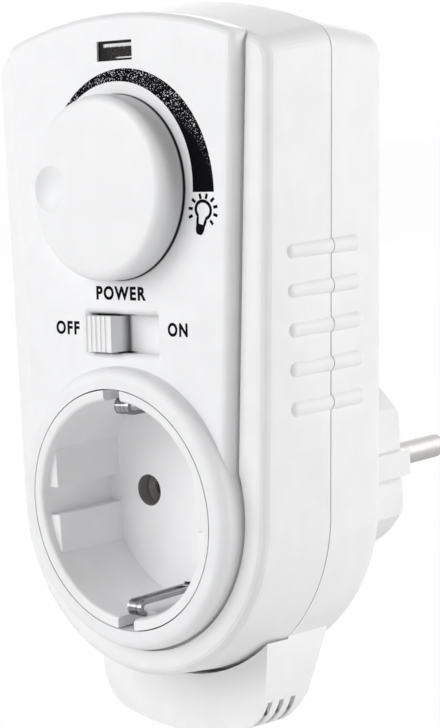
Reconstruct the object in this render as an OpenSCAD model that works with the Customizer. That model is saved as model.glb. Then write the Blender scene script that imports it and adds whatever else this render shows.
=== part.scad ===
// Plug-in dimmer with an earthed socket in front and an earthed plug behind.
// Millimetres. The origin is the middle of the plug's face, between the two pins.
// +Z is up, the front faces -Y and the pins point along +Y.

/* [Housing] */
// Height of the arched top above the pin axis, at the front
top_z = 87.2; // [84:0.1:92]
// Rise of the top from the front to the seam
seam_rise = 2.3; // [1:0.1:3]
// Rise of the top from the front to the rear edge
rear_rise = 1.2; // [0.5:0.1:3]
// Radius of the arched top
top_r = 88; // [80:1:140]
// Radius of the two top corners
corner_r = 5; // [3:0.5:8]
// Radius of the round lower end at the front
front_r = 30.4; // [29.8:0.1:31]
// Radius of the round lower end at the seam
body_r = 31.5; // [31:0.1:33]
// Draft of the rear shell's walls towards the rear
rear_draft = 0.2; // [0.1:0.05:0.4]
// Outward flare of the sides at the front in degrees
front_flare = 2.3; // [2:0.05:2.7]
// Outward flare of the sides from the seam to the rear in degrees
flare = 1.6; // [1.2:0.05:2]
// Backward lean of the front in degrees
lean = 3; // [2:0.25:4]
// Wall thickness of the two shells
wall = 2.2; // [1.8:0.1:2.6]
// Depth of the ledge round the front panel, behind the panel's face
ledge_d = 2.6; // [2:0.1:3]
// Depth of the seat that the panel lies on
seat_d = 4.2; // [3.9:0.1:4.8]
// Thickness of the seat plate
seat_t = 2; // [1.6:0.1:2.4]
// Depth of the parting seam between the shells
seam_d = 18.5; // [17.6:0.1:19.5]
// Width of the shadow line at the seam
seam_gap = 0.3; // [0.2:0.05:0.5]
// Depth of the flat rear face
rear_d = 34.4; // [33.5:0.1:37]
// Rounding of the front shell's outer edge
edge_r = 2; // [1:0.1:2.5]
// Rounding of the rear shell's outer edge
rear_edge_r = 3.5; // [2:0.1:4]
// Height of the tongue that locates the rear shell
tongue_h = 1.5; // [1:0.1:2]

/* [Grip ribs] */
// Number of grip ribs on each side
rib_count = 5; // [3:1:6]
// Height of the lowest rib
rib_low_z = 18; // [14:0.5:22]
// Spacing of the ribs
rib_pitch = 6.75; // [5:0.25:8]
// Radius of a rib
rib_r = 1.6; // [1.2:0.1:2]
// How far a rib stands out of the wall
rib_proud = 0.8; // [0.5:0.1:1]
// Front end of the ribs, ahead of the plug's face
rib_front_h = 50; // [48:0.5:51]
// Rear end of the ribs, ahead of the plug's face
rib_rear_h = 30.5; // [30:0.5:34]

/* [Front panel] */
// Half width of the panel at the level of the pins
panel_half = 23.8; // [23:0.1:24.6]
// Outward flare of the panel's sides in degrees
panel_flare = 3; // [2.4:0.1:3.4]
// Thickness of the panel's face
panel_t = 2.4; // [2:0.1:2.8]
// Thickness of the panel's skirt
skirt_t = 1.8; // [1.4:0.1:2.2]
// Width of the groove round the panel
groove = 0.55; // [0.3:0.05:0.8]
// Rounding of the panel's edge
panel_edge_r = 1.7; // [1:0.1:2]
// Radius of the panel's top corners
panel_corner_r = 2.2; // [2.1:0.1:3]
// How far the panel's face lies behind the bezel, at the level of the pins
panel_set = 2; // [1.5:0.1:2.6]
// Outer radius of the round bezel
bezel_r = 25.4; // [25:0.1:26]
// Rounding of the bezel's outer edge
bezel_edge_r = 2.2; // [1.5:0.1:2.6]

/* [Socket] */
// Distance from the plug's face to the bezel's face
plug_reach = 61.5; // [60.5:0.25:63]
// Radius of the socket well
well_r = 19.6; // [19.4:0.05:19.8]
// Depth of the socket well
well_depth = 17.5; // [17:0.1:18]
// Thickness of the well's floor
floor_t = 2.5; // [2:0.1:3]
// Radius of the insert's rim
insert_r = 21.5; // [21.2:0.05:21.8]
// Gap between the insert and what surrounds it
insert_gap = 0.25; // [0.15:0.05:0.35]
// Radius of the insert's flange
flange_r = 24.2; // [23.8:0.1:24.4]
// Thickness of the insert's flange
flange_t = 1.5; // [1.2:0.1:2]
// Distance from the bezel's face to the flange
flange_set = 10; // [9.7:0.1:11]
// Distance between the two pins or the two pin holes
pin_pitch = 19; // [18.8:0.1:19.2]
// Radius of a pin hole in the well's floor
pin_hole_r = 2.9; // [2.7:0.05:3]
// Distance of the guide pads' faces from the middle
pad_x = 17.05; // [16.8:0.05:17.5]
// Height of the guide pads' outer ends
pad_z = 9.7; // [9:0.1:10]
// Height of the key slot between two pads
key_slot = 5.2; // [4.9:0.1:5.6]
// Distance from the bezel's face to the pads' front ends
pad_set = 1.6; // [1:0.1:2.5]
// Width of an earth clip
clip_w = 3.4; // [3:0.1:4]
// Thickness of the earth spring strip
strip_t = 0.8; // [0.6:0.05:1]
// Height of the clips' inner faces above the middle
clip_z = 16.7; // [16.4:0.05:16.9]
// Radius of the clips' rolled noses
nose_r = 1.5; // [1.3:0.1:1.6]
// Distance from the bezel's face to the clips' noses
nose_set = 2.2; // [1.8:0.1:4]
// Free room round the clips
clip_gap = 0.3; // [0.2:0.05:0.4]
// Radius of the contact carrier
carrier_r = 19; // [18.5:0.1:19.2]
// Thickness of the contact carrier's plate
carrier_t = 3; // [2.5:0.1:3.5]
// Outer radius of a contact sleeve
sleeve_r = 3.2; // [3.1:0.05:3.25]

/* [Plug] */
// Radius of a pin
pin_r = 2.4; // [2.35:0.01:2.45]
// Length of a pin beyond the plug's face
pin_len = 19; // [18:0.25:19.5]
// Radius of the rounding at a pin's tip
pin_tip_r = 1.8; // [1:0.1:2]
// Radius of the plug body
plug_r = 18.2; // [17.9:0.1:18.4]
// Distance of the plug's side flats from the middle
plug_flat_x = 15; // [14.6:0.1:15.6]
// Distance of the plug's upper and lower flats from the middle
plug_flat_z = 17; // [16.8:0.1:17.2]
// Thickness of the plug's walls
plug_wall = 2; // [1.7:0.1:2.2]
// Thickness of the plug's face
plug_face_t = 3; // [2.5:0.1:3.5]
// Rounding of the plug's front edge
plug_edge_r = 1.2; // [0.8:0.1:1.5]
// Distance of the side keys' faces from the middle
key_x = 17.3; // [17:0.1:17.6]
// Width of a plug earth strip
earth_w = 5; // [4.5:0.1:5.5]

/* [Bottom block] */
// Half width of the block at its top
block_top_half = 21.5; // [21:0.1:22]
// Half width of the block at its lower corners
block_low_half = 19.6; // [19:0.1:20.2]
// Depth of the block's front face behind the panel's face
block_d = 13.2; // [12.8:0.1:13.6]
// Lowest point of the block below the pin axis
block_low_z = 42.4; // [41.8:0.1:43.5]
// Radius of the block's curved underside
block_under_r = 52; // [48:1:60]
// Wall thickness of the block
block_wall = 1.5; // [1.2:0.1:1.7]
// Width of a vent slot
vent_w = 1.3; // [1:0.1:1.6]
// Spacing of the vent slots
vent_pitch = 3.1; // [2.8:0.1:3.3]
// Number of vent slots on each side
vent_count = 3; // [1:1:3]

/* [Knob and control] */
// Height of the knob's axis, along the front
knob_z = 56.8; // [56:0.1:58]
// Radius of the knob
knob_r = 16.2; // [15.5:0.1:17]
// Height of the knob's face above the panel
knob_h = 6; // [5.6:0.1:7]
// Gap between the knob and the panel
knob_gap = 0.35; // [0.25:0.05:0.6]
// Rounding of the knob's edge
knob_edge_r = 1.8; // [1:0.1:2.2]
// Wall thickness of the knob
knob_wall = 2; // [1.8:0.1:2.2]
// Radius of the finger dimple's mouth
dimple_r = 4.1; // [3.5:0.1:4.5]
// Depth of the finger dimple
dimple_depth = 1.3; // [0.8:0.1:1.5]
// Distance of the dimple from the knob's axis
dimple_x = 10.7; // [10:0.1:11]
// Radius of the control's shaft
shaft_r = 3; // [2.9:0.05:3.1]
// Running clearance round the shaft
shaft_gap = 0.05; // [0.03:0.01:0.08]
// Radius of the control's threaded bush
bush_r = 4; // [3.8:0.1:4.4]
// Radius of the control's body
control_r = 8; // [7.5:0.1:8.5]
// Depth of the control's body
control_len = 7.8; // [7:0.1:8]

/* [Switch and lamp] */
// Height of the switch's middle, along the front
switch_z = 31; // [30.8:0.05:31.2]
// Width of the switch's opening
switch_w = 17; // [16.5:0.1:17.5]
// Height of the switch's opening
switch_h = 7; // [6.8:0.1:7.3]
// Rounding of the opening's edge
switch_mouth_r = 1; // [0.6:0.1:1.1]
// Depth of the slider's cover plate
cover_d = 3.2; // [3:0.05:3.3]
// Width of the slider
slider_w = 7; // [6.5:0.1:7.5]
// How far the slider stands out of the panel
slider_proud = 1.5; // [1:0.1:2]
// Free room round the slider
slider_gap = 0.3; // [0.2:0.05:0.35]
// Number of ribs on the slider's face
slider_ribs = 6; // [4:1:7]
// Height of the lamp window's middle, along the front
lens_z = 80.6; // [80:0.1:81]
// Width of the lamp window
lens_w = 8.6; // [8:0.1:9]
// Height of the lamp window
lens_h = 3.5; // [3:0.1:4]

/* [Board] */
// Depth of the circuit board's front face
board_d = 15; // [15:0.1:15.2]
// Thickness of the circuit board
board_t = 1.6; // [1.2:0.1:1.8]
// Half width of the circuit board
board_half = 21.8; // [21:0.1:22]
// Lower edge of the circuit board, along the front
board_low_z = 25; // [24:0.5:26]
// Upper edge of the circuit board, along the front
board_high_z = 81.3; // [80:0.1:81.5]
// Radius of an insulated lead
lead_r = 1.1; // [0.8:0.05:1.2]
// Radius of a choke wire
wire_r = 0.6; // [0.4:0.05:0.7]

/* [Fasteners] */
// Radius of a housing screw's shank
screw_r = 1.5; // [1.3:0.05:1.6]
// Radius of a housing screw's head
screw_head_r = 2.7; // [2.4:0.1:2.9]
// Radius of the screw bosses
boss_r = 3.3; // [3.1:0.1:3.4]
// Side distance of the upper screws
screw_x = 25.6; // [25.4:0.1:26]
// Height of the upper screws, along the front
screw_z = 76.5; // [75:0.5:77]

/* [Hidden] */
$fn = 72;
// Overshoot of cutting shapes past the faces that they cut
over = 1;
// Larger than the whole object
huge = 400;
// Fineness of the outlines: steps round the lower end, a corner and the arch, and over an edge
low_steps = 64;
corner_steps = 8;
arch_steps = 20;
round_steps = 5;
layer_t = 0.01;
// Room of a tight seat, and of a part that slips into its place
seat_gap = 0.02;
slip_gap = 0.1;

// Outline forms: lower radius, side flare, top height, top radius, corner radius
front_form = [front_r, front_flare, top_z, top_r, corner_r];
body_form = [body_r, flare, top_z + seam_rise, top_r, corner_r];
rear_form = [body_r - rear_draft, flare, top_z + rear_rise, top_r, corner_r];
panel_form = [panel_half * cos(panel_flare), panel_flare, top_z, top_r, panel_corner_r];

panel_h = plug_reach - panel_set;
floor_h = plug_reach - well_depth;
floor_back_h = floor_h - floor_t;
flange_h = plug_reach - flange_set;
pin_x = pin_pitch / 2;
seat_back_d = seat_d + seat_t;
rear_inner_d = rear_d - wall;
bezel_bore_r = insert_r + insert_gap;
hub_lap = 0.6;
hub_r = flange_r + hub_lap;
boss_root_d = seat_d + seat_t / 4;
rib_sink = wall / 2 - 2 * slip_gap;

// Height of a plane of the leaned housing, ahead of the plug's face
function lean_h(d, z) = panel_h - d / cos(lean) - tan(lean) * z;

// Guide pads: length of their sloping front ends, and their root in the well's wall
pad_slope = 2.5;
pad_root = 0.4;
key_gap = 0.4;
nose_room = 2;

// Pressed channel along the inner face of each earth clip
channel_w = 1.8;
channel_depth = 0.3;
channel_end = 2;

// Contacts behind the well's floor
carrier_back_h = floor_back_h - carrier_t;
sleeve_set = 0.3;
pin_room = 0.5;
sleeve_front_h = floor_back_h - sleeve_set;
sleeve_back_h = floor_h - pin_len - pin_room;
sleeve_base = 1.5;
sleeve_gap = 0.05;
sleeve_mouth = 1.5;
sleeve_end_h = sleeve_back_h - sleeve_base;
sleeve_tail = 2;
slit_w = 0.8;
slit_root = 2;
tail_w = 4;
tail_t = 1.2;
tower_wall = 1.2;
tower_r = sleeve_r + tower_wall;
tower_gap = 0.05;
tower_lift = 0.4;
tower_back_h = lean_h(rear_inner_d, -tower_r) + tower_lift;
conductor_run = 7;
tail_h = sleeve_end_h - sleeve_tail - conductor_run;
pin_root_r = pin_r + 0.5;
pin_collar_r = 3.5;
pin_collar_t = 1.5;
pin_tail_r = 1.6;
earth_tip_h = 2.1;
earth_link_h = 23;
earth_post_r = 2.4;

// Lower screws stand in ears on the insert, on a circle round the socket
ear_ring_r = 23.4;
ear_angle = -38;
ear_r = 2.8;
ear_back_h = floor_back_h;
ear_x = ear_ring_r * cos(ear_angle);
ear_z = ear_ring_r * sin(ear_angle);
rim_soft_r = 0.6;
insert_screw_ring_r = (bezel_bore_r + flange_r) / 2;
insert_screw_r = 0.8;
insert_screw_head_r = 1.1;
insert_screw_head_t = 0.8;
insert_screw_len = 2.8;
screw_head_t = 2;
screw_point = 0.5;
screw_sink = 3;
screw_bite = 7;
screw_slack = 0.15;

slider_h = switch_h - 2 * slider_gap;
slider_rest_x = -switch_w / 2 + slider_gap + slider_w / 2;
slider_travel = switch_w - slider_w - 2 * slider_gap;
cover_t = 0.6;
cover_lap = 0.6;
stem_w = 3.6;
stem_h = 3;
carriage_w = 9;
carriage_h = 5.6;
stem_room = 0.5;
stem_grip = 3;
slider_groove_r = 0.42;
slider_groove_out = 0.1;
carriage_t = 5;
carriage_set = 0.9;
carriage_d = seat_back_d + carriage_set;
switch_wall = 1.2;
switch_body_w = slider_travel + carriage_w + 2 * slider_gap + 2 * switch_wall;
switch_body_h = carriage_h + 2 * slider_gap + 2 * switch_wall;

board_back_d = board_d + board_t;
post_r = 2.2;
post_x = 18;
post_high_z = 74.5;
post_low_z = 28.5;
board_screw_r = 0.9;
board_screw_head_r = 1.7;
board_screw_head_t = 1.2;
board_screw_len = 5;

// Rotary control: nut, bush, shaft end and terminals
nut_t = 1.5;
nut_wall = 2.2;
bush_set = 0.6;
bush_room = 0.3;
control_base = 1.5;
shaft_end_gap = 0.3;
terminal_r = 0.6;
terminal_pitch = 4;
terminal_in = 2;
dimple_ball_r = (pow(dimple_r, 2) + pow(dimple_depth, 2)) / (2 * dimple_depth);

// Lamp and its window
lens_set = 0.4;
lamp_r = 2;
lamp_len = 7;
lamp_drop = 2;
lamp_gap = 0.3;
lamp_wire_r = 0.3;
lamp_wire_in = 1;
lamp_d = seat_back_d + lamp_r + lamp_gap;

// Leads: where they leave the conductors, and their drop behind the contact carrier
lead_z = 33;
lead_low_z = 9;
lead_turn = 1.5;
lead_drop = 5.5;
lead_rise_h = carrier_back_h - lead_drop;
lead_end_h = lean_h(board_back_d, lead_z) - lead_r * tan(lean);
load_x = -5;
load_low_z = 12;
load_turn = 1.4;
load_drop = 3.5;
load_rise_h = carrier_back_h - load_drop;
load_h = sleeve_end_h - sleeve_tail - load_turn;

// Power parts on the back of the board, with their room to the rear wall
triac_x = 10;
triac_z = 60;
triac_w = 10;
triac_t = 4.4;
triac_lift = 3.5;
triac_short = 1;
triac_leg_pitch = 2.5;
triac_leg_w = 0.9;
triac_leg_t = 0.6;
sink_w = 20;
sink_t = 1.6;
sink_room = 2.6;
sink_h = rear_inner_d - board_back_d - sink_room;
cap_x = -11;
cap_z = 66;
cap_w = 17;
cap_t = 8;
cap_room = 3.6;
fuse_r = 2.5;
fuse_len = 20;
fuse_x = -8;
fuse_z = 43;
fuse_lift = 1.4;
fuse_d = board_back_d + fuse_r + fuse_lift;
fuse_clip_w = 3.4;
fuse_clip_in = 2.5;
fuse_clip_wall = 0.8;
fuse_clip_lip = 0.3;
resistor_r = 1.2;
resistor_len = 7;
resistor_x = 12;
resistor_low_z = 43;
resistor_pitch = 5;
resistor_high_z = 54;

// Side view of the block: where it starts inside the shell, and its sloping back
block_root_z = -body_r / 2;
block_root_in = 4;
block_root_d = rear_d - block_root_in;
block_slope_z = -0.75 * body_r;
block_slope_in = 5;
block_slope_d = rear_d - block_slope_in;
block_heel_rise = 4;
block_heel_z = block_heel_rise - block_low_z;
block_heel_t = 10;
block_heel_d = block_d + block_heel_t;
block_foot_t = 9.4;
block_foot_d = block_d + block_foot_t;
vent_first = 0.9;
vent_high = 8.6;
vent_reach = 4;

// Rod choke in the block, and the way of its two leads
choke_len = 22;
choke_set = 5.6;
choke_clear = 0.5;
winding_len = 17;
winding_t = 0.9;
choke_roof = body_r + seam_gap + block_wall;
choke_floor = block_low_z - block_wall - pow(winding_len, 2) / (8 * block_under_r);
winding_r = (choke_floor - choke_roof) / 2 - choke_clear;
choke_r = winding_r - winding_t;
choke_z = -cos(lean) * (choke_floor + choke_roof) / 2 - sin(lean) * (block_d + choke_set);
choke_h = lean_h(block_d + choke_set, choke_z);
cradle_w = 1.4;
choke_back_set = 8.3;
choke_back_h = lean_h(block_d + choke_back_set, choke_z);
choke_lead_out = 0.8;
choke_low_x = choke_len / 2 + choke_lead_out;
choke_high_x = 15.8;
choke_drop = 4.5;
choke_rise_h = carrier_back_h - choke_drop;
choke_bend_z = -24;
choke_pass_z = -8;

// Frames
// Upright frame: flat shapes stand in XZ and their height points to the front
module upright() rotate([90, 0, 0]) children();

// Leaned frame: as above, with height 0 on the panel's face
module leaned() upright() translate([0, 0, panel_h]) rotate([-lean, 0, 0]) children();

module both_sides() {
    children();
    mirror([1, 0, 0]) children();
}

module both_ends() {
    children();
    mirror([0, 1, 0]) children();
}

// A slab between two depths behind the panel's face, in the leaned frame
module slab(front_d, back_d) translate([0, 0, -back_d]) linear_extrude(back_d - front_d) children();

// Everything ahead of, or behind, a depth in the leaned frame
module ahead_of(d) leaned() translate([-huge / 2, -huge / 2, -d]) cube(huge);
module behind(d) leaned() translate([-huge / 2, -huge / 2, -d - huge]) cube(huge);

// Housing outline: round below, flared straight sides, round corners and an arched top
function side_out(a) = [cos(a), -sin(a)];
function side_up(a) = [sin(a), cos(a)];
function flip(p) = [-p[0], p[1]];
function grown(f, g) = [f[0] + g, f[1], f[2] + g, f[3] + g, f[4] + g];
function arch_centre(f) = [0, f[2] - f[3]];
function corner_centre(f) =
    let (drop = f[2] - f[3], across = f[0] - f[4] + sin(f[1]) * drop)
    (f[0] - f[4]) * side_out(f[1])
    + (cos(f[1]) * drop + sqrt(pow(f[3] - f[4], 2) - across * across)) * side_up(f[1]);
function corner_ray(f) = let (v = corner_centre(f) - arch_centre(f)) v / norm(v);
function side_x(f, z) = (f[0] + sin(f[1]) * z) / cos(f[1]);
function arc(c, r, from, to, steps) = [
    for (k = [0 : steps]) let (a = from + (to - from) * k / steps) c + r * [cos(a), sin(a)]
];
function inner(list) = [for (k = [1 : len(list) - 2]) list[k]];
function outline_points(f) = let (u = corner_ray(f), p = corner_centre(f), turn = atan2(u[1], u[0])) concat(
    arc([0, 0], f[0], 180 + f[1], 360 - f[1], low_steps),
    arc(p, f[4], -f[1], turn, corner_steps),
    inner(arc(arch_centre(f), f[3], turn, 180 - turn, arch_steps)),
    arc(flip(p), f[4], 180 - turn, 180 + f[1], corner_steps)
);

module outline(f) polygon(outline_points(f));

// Upright section between two radii, t high, with its top outer corner rounded to e
module edge_section(inner, outer, t, e) union() {
    translate([inner, -t]) square([outer - inner, t - e]);
    translate([inner, -e]) square([outer - inner - e, e]);
    translate([outer - e, -e]) intersection() {
        circle(e);
        square(e);
    }
}

// Layers of an outline's rounded edge, from a step over it up to the face at height 0
module edge_layers(f, e, first) for (k = [first : round_steps]) {
    a = 90 * k / round_steps;
    translate([0, 0, e * (sin(a) - 1) - layer_t]) linear_extrude(layer_t)
        outline(grown(f, -e * (1 - cos(a))));
}

// Outlined slab t thick whose face has a rounded edge
module rounded_slab(f, t, e) hull() {
    translate([0, 0, -t]) linear_extrude(t - e) outline(f);
    edge_layers(f, e, 1);
}

// The same with another outline at its back
module tapered_slab(face, back, t, e) hull() {
    translate([0, 0, -t]) linear_extrude(layer_t) outline(back);
    edge_layers(face, e, 0);
}

// What a soft rounding takes off a square edge: the edge is at the origin, the body below and right
module soft_waste(r) {
    reach = 1.3 * r;
    difference() {
        translate([-over, -r]) square(r + over);
        translate([reach, -reach]) circle(sqrt(reach * reach + pow(reach - r, 2)));
    }
}

// Softens the mouth of a square opening in a face at height 0
module mouth_waste(w, h, r) {
    both_sides() translate([w / 2, h / 2, 0]) rotate([90, 0, 0]) linear_extrude(h) soft_waste(r);
    both_ends() translate([-w / 2, h / 2, 0]) rotate([90, 0, 90]) linear_extrude(w) soft_waste(r);
    both_sides() both_ends() translate([w / 2, h / 2, 0]) rotate_extrude(start = 0, angle = 90)
        intersection() {
            soft_waste(r);
            translate([0, -r]) square(r + over);
        }
}

module centred_square(w, h) square([w, h], center = true);

module pin_places() for (s = [-1, 1]) translate([s * pin_x, 0, 0]) children();

// Upright cylinder between two heights ahead of the plug's face
module post(r, low, high) translate([0, 0, low]) cylinder(r = r, h = high - low);

// Grip ribs along both side walls, leaning in with the front half's walls by a share of their taper
module ribs(share) upright() both_sides() for (k = [0 : rib_count - 1]) {
    z = rib_low_z + k * rib_pitch;
    seam_h = lean_h(seam_d, z);
    taper = (side_x(body_form, z) - side_x(front_form, z)) / (seam_d - ledge_d - edge_r);
    translate([side_x(body_form, z) - rib_r + rib_proud, z, seam_h])
        rotate([0, -share * atan(taper), 0]) translate([0, 0, rib_rear_h - seam_h]) rotate_extrude() union() {
            translate([0, rib_r]) square([rib_r, rib_front_h - rib_rear_h - 2 * rib_r]);
            for (h = [rib_r, rib_front_h - rib_rear_h - rib_r]) translate([0, h]) intersection() {
                circle(rib_r);
                translate([0, -rib_r]) square([rib_r, 2 * rib_r]);
            }
        }
}

module upper_screw_places() both_sides() translate([screw_x, screw_z, 0]) children();
module lower_screw_places() both_sides() translate([ear_x, ear_z, 0]) children();
module board_post_places() both_sides() for (z = [post_low_z, post_high_z])
    translate([post_x, z, 0]) children();
module insert_screw_places() for (a = [45, 135, 240, 300]) rotate([0, 0, a])
    translate([insert_screw_ring_r, 0, 0]) children();

// Front half of the housing: a ledge round the panel, side walls, the panel's seat and bosses
module front_shell() color("whitesmoke") difference() {
    union() {
        leaned() difference() {
            translate([0, 0, -ledge_d]) tapered_slab(front_form, body_form, seam_d - ledge_d, edge_r);
            slab(ledge_d - over, seat_d) outline(grown(panel_form, groove));
            slab(seat_back_d, seam_d + over) outline(grown(front_form, -wall));
            slab(seam_d - tongue_h - 2 * slip_gap, seam_d + over) outline(grown(body_form, -wall / 2));
        }
        difference() {
            ribs(1);
            behind(seam_d);
            leaned() slab(0, rear_d) outline(grown(body_form, -rib_sink));
        }
        intersection() {
            upright() post(hub_r, flange_h, plug_reach);
            behind(seat_d);
        }
        leaned() upper_screw_places() slab(boss_root_d, seam_d) circle(boss_r);
        leaned() board_post_places() slab(boss_root_d, board_d) circle(post_r);
    }
    upright() post(bezel_bore_r, 0, plug_reach);
    intersection() {
        upright() post(bezel_r + groove, 0, plug_reach + over);
        ahead_of(seat_d);
    }
    upright() insert_screw_places() post(insert_screw_r, flange_h - over, flange_h + insert_screw_len);
    leaned() {
        upper_screw_places() slab(seam_d - screw_bite - over, seam_d + over) circle(screw_r);
        board_post_places() slab(board_d - board_screw_len, board_d + over) circle(board_screw_r);
        translate([0, knob_z]) slab(ledge_d, seat_back_d + over) circle(bush_r + slip_gap);
        translate([0, switch_z]) slab(ledge_d, seat_back_d + over)
            centred_square(slider_travel + stem_w + 2 * stem_room, stem_h + 2 * stem_room);
        translate([0, lens_z]) slab(ledge_d, seat_back_d + over) centred_square(lens_w, lens_h);
    }
}

// Raised front panel with the round bezel, the switch's opening and the lamp window
module front_panel() color("white") difference() {
    union() {
        leaned() difference() {
            rounded_slab(panel_form, seat_d, panel_edge_r);
            difference() {
                slab(panel_t, seat_d + over) outline(grown(panel_form, -skirt_t));
                translate([0, lens_z]) slab(0, seat_d + 2 * over)
                    centred_square(lens_w + 4 * skirt_t, lens_h + 4 * skirt_t);
            }
        }
        intersection() {
            upright() translate([0, 0, plug_reach]) rotate_extrude()
                edge_section(well_r, bezel_r, plug_reach, bezel_edge_r);
            ahead_of(seat_d);
        }
    }
    upright() post(bezel_bore_r, 0, plug_reach + over);
    leaned() {
        translate([0, knob_z]) slab(-over, seat_d) circle(bush_r + bush_room);
        translate([0, switch_z]) {
            slab(-over, seat_d) centred_square(switch_w, switch_h);
            mouth_waste(switch_w, switch_h, switch_mouth_r);
        }
        translate([0, lens_z]) {
            slab(-over, seat_d + over) centred_square(lens_w, lens_h);
            slab(panel_t / 2, seat_d + over) centred_square(lens_w + 2 * skirt_t, lens_h + 2 * skirt_t);
        }
    }
}

// Round plug body with side flats, keys and a rounded front edge, standing on the pin axis
module plug_form(inset, low, high, key) {
    run = high - low;
    intersection() {
        translate([0, 0, low]) mirror([0, 0, 1]) rotate_extrude()
            edge_section(0, plug_r - inset, run, plug_edge_r);
        translate([0, 0, low]) linear_extrude(run)
            centred_square(2 * (plug_flat_x - inset), 2 * (plug_flat_z - inset));
    }
    if (key > 0) both_sides() translate([0, -key / 2, low]) cube([key_x, key, run]);
}

// Solid of the block under the front shell
module block_form(inset) leaned() intersection() {
    slab(block_d + inset, rear_d) intersection() {
        polygon([
            [block_top_half - inset, block_root_z], [block_low_half - inset, -block_low_z],
            [inset - block_low_half, -block_low_z], [inset - block_top_half, block_root_z]
        ]);
        translate([0, block_under_r - block_low_z]) circle(block_under_r - inset);
    }
    rotate([0, -90, 0]) linear_extrude(huge, center = true) polygon([
        [-block_d, block_root_z], [inset - block_root_d, block_root_z],
        [inset - block_slope_d, block_slope_z], [inset - block_heel_d, block_heel_z],
        [inset - block_foot_d, -block_low_z - over], [-block_d, -block_low_z - over]
    ]);
}

// Two notched ribs in the block that hold the choke's core
module choke_cradle() difference() {
    intersection() {
        block_form(block_wall / 2);
        upright() both_sides()
            translate([winding_len / 2 + seam_gap, choke_z - block_low_z, choke_h - choke_r - over])
                cube([cradle_w, block_low_z, 2 * (choke_r + over)]);
    }
    choke_rod(choke_r);
}
module choke_rod(r) upright() translate([0, choke_z, choke_h]) rotate([0, 90, 0])
    cylinder(r = r, h = choke_len, center = true);

// Rear half of the housing: side walls, the plug body, the vented block and the screw wells
module rear_shell() color("whitesmoke") {
    rear_half();
    choke_cradle();
}
module rear_half() difference() {
    union() {
        leaned() translate([0, 0, -rear_d]) mirror([0, 0, 1])
            tapered_slab(rear_form, body_form, rear_d - seam_d - seam_gap, rear_edge_r);
        leaned() slab(seam_d - tongue_h, seam_d + 2 * seam_gap)
            outline(grown(body_form, -wall / 2 - slip_gap));
        difference() {
            ribs(0);
            ahead_of(seam_d + seam_gap);
            leaned() slab(0, rear_d) outline(grown(body_form, -rib_sink));
        }
        upright() plug_form(0, 0, lean_h(rear_inner_d, -plug_r), key_slot - key_gap);
        difference() {
            block_form(0);
            leaned() slab(0, seam_d + seam_gap) circle(body_r + seam_gap);
        }
    }
    difference() {
        leaned() slab(seam_d - tongue_h - over, rear_inner_d) outline(grown(rear_form, -wall));
        leaned() upper_screw_places() slab(seam_d, rear_d) circle(boss_r);
        upright() lower_screw_places() post(boss_r, 0, ear_back_h);
    }
    upright() plug_form(plug_wall, plug_face_t, lean_h(rear_inner_d, -plug_r) + over, 0);
    difference() {
        block_form(block_wall);
        leaned() slab(0, seam_d + seam_gap + block_wall) circle(choke_roof);
        behind(rear_inner_d);
    }
    for (k = [0 : vent_count - 1]) {
        vent_back_d = block_d + vent_first + vent_w + k * vent_pitch;
        leaned() both_sides() translate([block_low_half - vent_reach, -block_low_z - over, -vent_back_d])
            cube([2 * vent_reach, vent_high, vent_w]);
    }
    upright() {
        pin_places() post(pin_root_r + seat_gap, -over, plug_face_t + over);
        both_ends() {
            translate([-earth_w / 2 - slip_gap, plug_flat_z - strip_t, earth_tip_h - slip_gap])
                cube([earth_w + 2 * slip_gap, 2 * over, earth_link_h - earth_tip_h + 2 * slip_gap]);
            translate([
                -earth_w / 2 - slip_gap, plug_flat_z - plug_wall - over, earth_link_h - strip_t - slip_gap
            ]) cube([earth_w + 2 * slip_gap, plug_wall + 2 * over, strip_t + 2 * slip_gap]);
        }
        lower_screw_places() {
            post(screw_r + screw_slack, 0, plug_reach);
            post(screw_head_r + 2 * screw_slack, 0, lean_h(rear_d, ear_z) + screw_sink);
        }
    }
    leaned() upper_screw_places() {
        slab(0, rear_d + over) circle(screw_r + screw_slack);
        slab(rear_d - screw_sink, rear_d + over) circle(screw_head_r + 2 * screw_slack);
    }
}

// Socket well with guide pads, pin holes, clip slots and a flange behind the front shell
module socket_insert() color("white") upright() difference() {
    union() {
        rotate_extrude() difference() {
            union() {
                translate([0, floor_back_h]) square([insert_r, plug_reach - floor_back_h]);
                translate([0, flange_h - flange_t]) square([flange_r, flange_t]);
            }
            translate([0, floor_h]) square([well_r, well_depth + over]);
            translate([well_r, plug_reach]) soft_waste(rim_soft_r);
        }
        intersection() {
            both_sides() both_ends()
                translate([0, pad_z, 0]) rotate([90, 0, 0]) linear_extrude(pad_z - key_slot / 2) polygon([
                    [pad_x, floor_h - over], [pad_x, plug_reach - pad_set - pad_slope],
                    [well_r, plug_reach - pad_set], [insert_r, plug_reach - pad_set],
                    [insert_r, floor_h - over]
                ]);
            post(insert_r - pad_root, floor_back_h, plug_reach);
        }
        lower_screw_places() post(ear_r, ear_back_h, flange_h);
    }
    pin_places() post(pin_hole_r, 0, plug_reach);
    both_ends() {
        slot_w = clip_w + 2 * clip_gap;
        nose_len = nose_set + 2 * nose_r + nose_room;
        translate([-slot_w / 2, clip_z - clip_gap, floor_back_h - over])
            cube([slot_w, strip_t + 2 * clip_gap, floor_t + 2 * over]);
        translate([-slot_w / 2, well_r - over, plug_reach - nose_len])
            cube([slot_w, insert_r - well_r + 2 * over, nose_len + over]);
    }
    lower_screw_places() post(screw_r, ear_back_h - over, ear_back_h + screw_bite);
    insert_screw_places() post(insert_screw_r + slip_gap, flange_h - flange_t - over, flange_h + over);
}

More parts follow.
